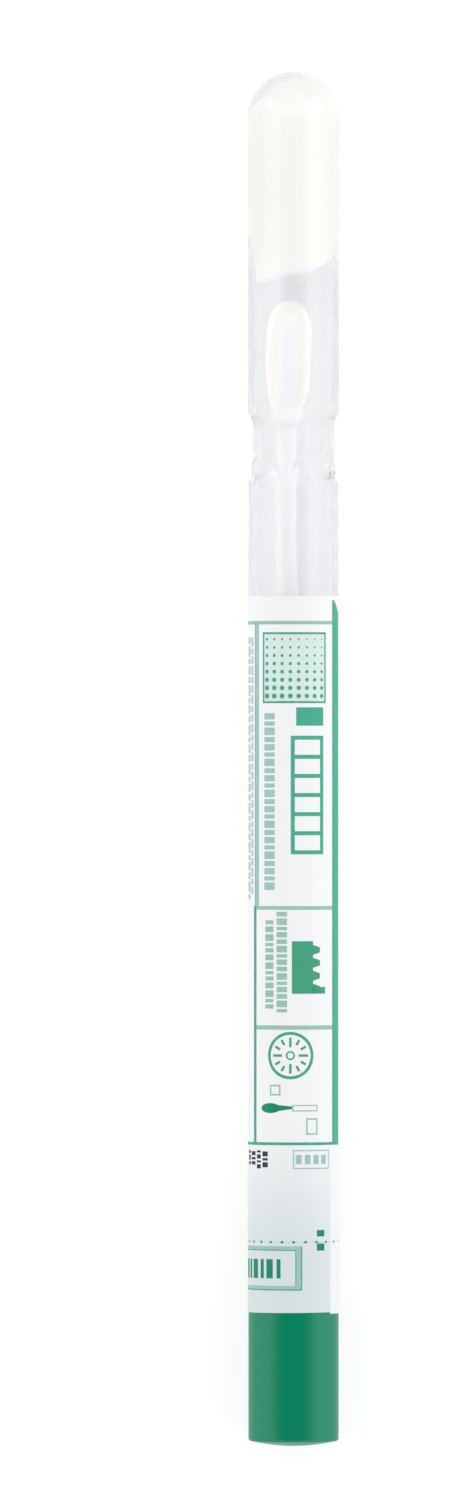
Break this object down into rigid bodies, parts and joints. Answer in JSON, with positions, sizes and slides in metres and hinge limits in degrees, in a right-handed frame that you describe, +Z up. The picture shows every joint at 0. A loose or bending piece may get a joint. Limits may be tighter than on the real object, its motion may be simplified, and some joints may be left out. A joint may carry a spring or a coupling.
{
  "type": "specimen swab tube",
  "caption": "Clear round-ended tube with a pinched neck and a plug of gel medium, closed by a domed cap that carries a fibre-tipped swab and pulls out endwise.",
  "frame": {"origin": "on the ground under the middle of the tube's length, with the tube lying on its side", "axes": "+Y along the tube from the cap to the round end, +Z up out of the label's main printed panel, +X to the right when looking down with +Y away"},
  "size_m": [0.0111, 0.165, 0.011],
  "materials": {
    "clear_tube": "clear, glossy, faintly cloudy",
    "gel": "moist, translucent off-white",
    "label": "satin white film with green print",
    "cap": "moulded, satin gloss",
    "shaft": "moulded, translucent white",
    "fibre": "wound white fibre"
  },
  "bodies": {
    "tube": {"tube": "clear_tube", "gel_medium": "gel", "tube_label": "label"},
    "swab": {"cap": "cap", "tear_band": "label", "swab_shaft": "shaft", "swab_tip": "fibre"}
  },
  "joints": [
    {"name": "swab_pull", "type": "slide", "parent": "tube", "child": "swab", "axis": [0, -1, 0], "range_m": [0, 0.12]}
  ]
}
